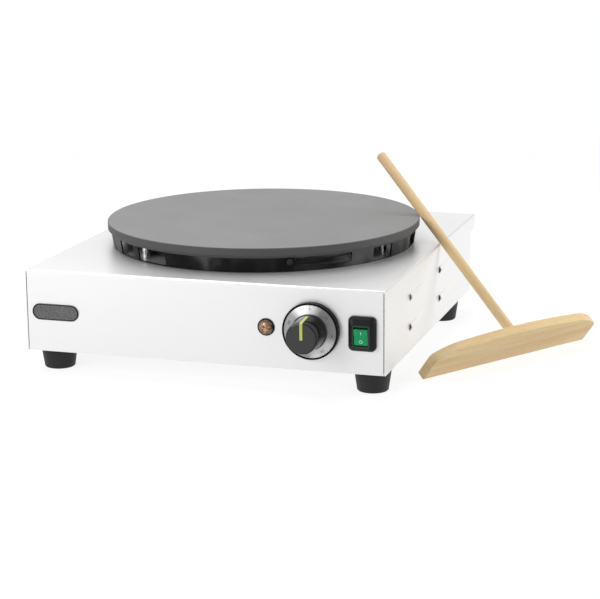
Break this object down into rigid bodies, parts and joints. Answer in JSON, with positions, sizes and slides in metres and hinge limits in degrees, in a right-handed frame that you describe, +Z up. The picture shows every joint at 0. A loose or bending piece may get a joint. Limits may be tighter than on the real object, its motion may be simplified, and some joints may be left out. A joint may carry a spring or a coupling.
{
  "type": "electric crepe maker",
  "caption": "Low square steel hot-plate unit with a large round cast plate on a black skirt, a dial, a switch, a lamp, rubber feet and a wooden spreader leaning on the rim.",
  "frame": {"origin": "on the counter, under the middle of the housing", "axes": "+X to the right seen from the front, +Y towards the rear, +Z up"},
  "size_m": [0.6451, 0.5229, 0.232],
  "materials": {
    "stainless": "brushed satin stainless sheet",
    "galvanised": "dull zinc-coated sheet",
    "bright_screws": "bright zinc-plated steel",
    "foot_rubber": "matte black rubber",
    "cast_plate": "fine-turned satin grey cast iron",
    "black_enamel": "satin black heat-proof paint",
    "element_sheath": "oxidised heater sheath",
    "reflector": "dull aluminium sheet",
    "fibre_pad": "pressed ceramic fibre",
    "copper": "drawn copper",
    "brass_terminals": "plain brass",
    "dark_moulding": "matte black moulding",
    "white_moulding": "off-white moulding",
    "gloss_black": "gloss black moulding",
    "scale_aluminium": "circularly brushed aluminium",
    "pointer_yellow": "yellow-green paint",
    "spindle_steel": "turned steel",
    "boot_rubber": "satin black rubber",
    "rocker_green": "gloss green plastic",
    "amber_lens": "clear amber plastic",
    "badge_metal": "dark speckled plate",
    "wire_brown": "brown silicone sleeve",
    "wire_blue": "blue silicone sleeve",
    "wire_green": "green and yellow silicone sleeve",
    "wire_white": "white glass-fibre sleeve",
    "beech": "fine-sanded unfinished beech"
  },
  "bodies": {
    "housing": {"housing_shell": "stainless", "rear_panel": "stainless", "rear_screws": "bright_screws", "base_plate": "galvanised", "base_screws": "bright_screws", "foot_screws": "bright_screws", "foot_nuts": "bright_screws", "foot_front_left": "foot_rubber", "foot_front_right": "foot_rubber", "foot_rear_left": "foot_rubber", "foot_rear_right": "foot_rubber", "cooking_plate": "cast_plate", "skirt_ring": "black_enamel", "skirt_brackets": "black_enamel", "skirt_screws": "bright_screws", "plate_studs": "bright_screws", "stud_spacers": "bright_screws", "stud_nuts": "bright_screws", "element_inner": "element_sheath", "element_outer": "element_sheath", "reflector_pan": "reflector", "insulation_pad": "fibre_pad", "clamp_plate": "galvanised", "clamp_bolt": "bright_screws", "sensing_bulb": "copper", "bulb_saddle": "galvanised", "capillary_tube": "copper", "thermostat_body": "dark_moulding", "thermostat_tabs": "brass_terminals", "thermostat_screws": "bright_screws", "dial_ring": "gloss_black", "dial_scale": "scale_aluminium", "switch_body": "dark_moulding", "switch_tabs": "brass_terminals", "switch_boot": "boot_rubber", "lamp_bezel": "gloss_black", "lamp_lens": "amber_lens", "lamp_body": "dark_moulding", "lamp_nut": "dark_moulding", "badge_plate": "badge_metal", "cable_gland": "dark_moulding", "gland_nut": "dark_moulding", "terminal_block": "white_moulding", "terminal_screws": "brass_terminals", "earth_stud": "brass_terminals", "safety_cutout": "dark_moulding", "wire_live": "wire_brown", "wire_neutral": "wire_blue", "wire_earth": "wire_green", "wire_switched": "wire_brown", "wire_heater": "wire_white", "wire_element": "wire_white", "wire_bridge": "wire_white"},
    "knob": {"knob": "gloss_black", "knob_pointer": "pointer_yellow", "knob_spindle": "spindle_steel"},
    "rocker": {"switch_rocker": "rocker_green", "switch_pin": "spindle_steel"},
    "spreader": {"spreader_blade": "beech", "spreader_handle": "beech"}
  },
  "joints": [
    {"name": "thermostat_turn", "type": "hinge", "parent": "housing", "child": "knob", "pos_m": [0.137, -0.26, 0.077], "axis": [0, 1, 0], "range_deg": [0, 270]},
    {"name": "rocker_tilt", "type": "hinge", "parent": "housing", "child": "rocker", "pos_m": [0.198, -0.2394, 0.075], "axis": [-1, 0, 0], "range_deg": [0, 12]},
    {"name": "spreader_lift", "type": "slide", "parent": "housing", "child": "spreader", "axis": [0, 0, 1], "range_m": [0, 0.25]}
  ]
}
